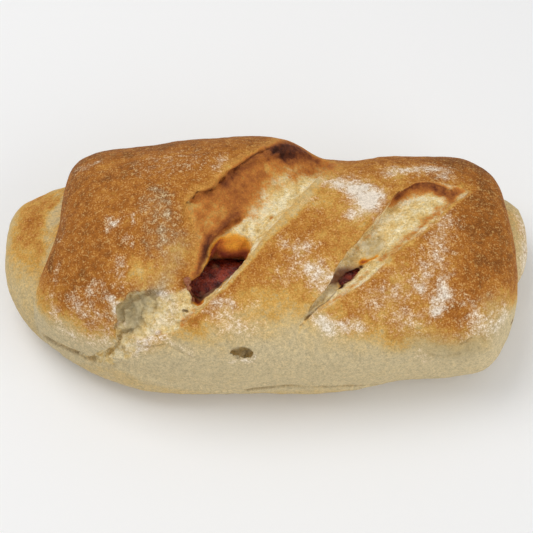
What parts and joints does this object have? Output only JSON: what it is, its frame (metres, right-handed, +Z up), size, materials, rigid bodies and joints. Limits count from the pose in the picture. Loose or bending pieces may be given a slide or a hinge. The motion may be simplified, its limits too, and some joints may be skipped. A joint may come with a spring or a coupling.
{
  "type": "chorizo-filled bread",
  "caption": "Small rustic loaf of wrapped dough round a whole chorizo, slashed on the slant and opened in baking, lying on its flat base.",
  "frame": {"origin": "middle of the loaf's outline, on the flat base that it lies on", "axes": "+X along the loaf to the picture's right, -Y to its front with the tear, +Z up through the slashed crown"},
  "size_m": [0.1878, 0.0908, 0.0619],
  "materials": {
    "bread": "baked crust, brown above and pale below, dusted with flour",
    "chorizo": "cured sausage, dark red and a little oily"
  },
  "bodies": {
    "root": {"bread": "bread", "chorizo": "chorizo"}
  },
  "joints": []
}
